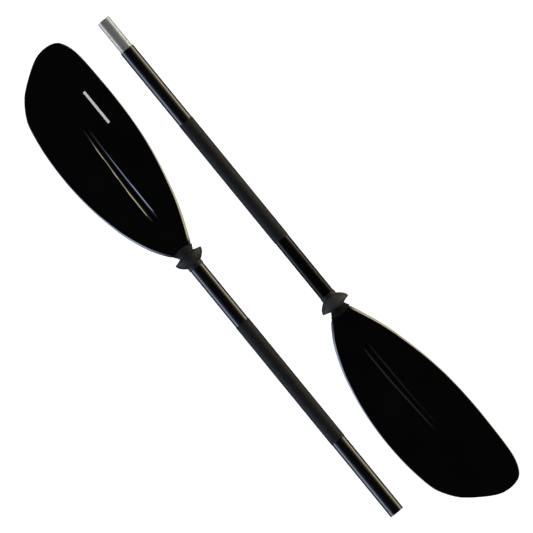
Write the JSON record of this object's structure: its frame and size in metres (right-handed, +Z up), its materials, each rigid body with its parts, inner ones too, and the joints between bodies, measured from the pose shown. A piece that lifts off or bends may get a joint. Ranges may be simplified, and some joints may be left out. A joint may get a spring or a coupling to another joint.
{
  "type": "kayak paddle",
  "caption": "Take-apart touring kayak paddle, lying apart: asymmetric black blades, black shaft with grips and drip rings, silver ferrule with snap button.",
  "frame": {"origin": "centre of the female shaft's open mouth, on the shaft's axis: the joint plane", "axes": "+X out of the female mouth along the shaft; +Z up, out of the blades' power faces; +Y across the shafts towards the male half"},
  "size_m": [1.1983, 0.3334, 0.061],
  "materials": {
    "blade_plastic": "satin black moulded nylon",
    "shaft": "polished black laminate",
    "grip": "matte, fine texture",
    "ring_rubber": "matte dark grey",
    "collar_rubber": "matte dark grey",
    "ferrule_metal": "drawn, silver",
    "button_metal": "polished",
    "spring_steel": "bright",
    "foam": "closed-cell foam"
  },
  "bodies": {
    "female_half": {"female_tube": "shaft", "female_blade": "blade_plastic", "female_collar": "collar_rubber", "female_grip": "grip", "female_joint_plug": "foam", "female_blade_plug": "foam", "female_blade_pin": "spring_steel"},
    "female_ring": {"female_drip_ring": "ring_rubber"},
    "male_guide": {"male_joint_plug": "foam"},
    "male_core": {"male_blade_plug": "foam"},
    "male_half": {"male_tube": "shaft", "male_blade": "blade_plastic", "male_collar": "collar_rubber", "male_grip": "grip", "male_blade_pin": "spring_steel", "ferrule": "ferrule_metal", "ferrule_plug": "foam", "button_spring": "spring_steel"},
    "male_ring": {"male_drip_ring": "ring_rubber"},
    "button": {"snap_button": "button_metal"}
  },
  "joints": [
    {"name": "bring_in_line", "type": "slide", "parent": "female_half", "child": "male_guide", "axis": [0.9935, -0.1136, 0], "range_m": [0, 1.3907]},
    {"name": "ferrule_slide", "type": "slide", "parent": "male_guide", "child": "male_core", "axis": [-1, 0, 0], "range_m": [0, 0.3798]},
    {"name": "feather", "type": "hinge", "parent": "male_core", "child": "male_half", "pos_m": [-1.0017, 0.158, 0], "axis": [1, 0, 0], "range_deg": [-60, 60]},
    {"name": "button_press", "type": "slide", "parent": "male_half", "child": "button", "axis": [0, 0, 1], "range_m": [0, 0.003], "stiffness_N_per_m": 1200, "springref_m": -0.002, "deforming": ["button_spring"]},
    {"name": "female_ring_slide", "type": "slide", "parent": "female_half", "child": "female_ring", "axis": [1, 0, 0], "range_m": [0, 0.13]},
    {"name": "male_ring_slide", "type": "slide", "parent": "male_half", "child": "male_ring", "axis": [-1, 0, 0], "range_m": [0, 0.13]}
  ]
}
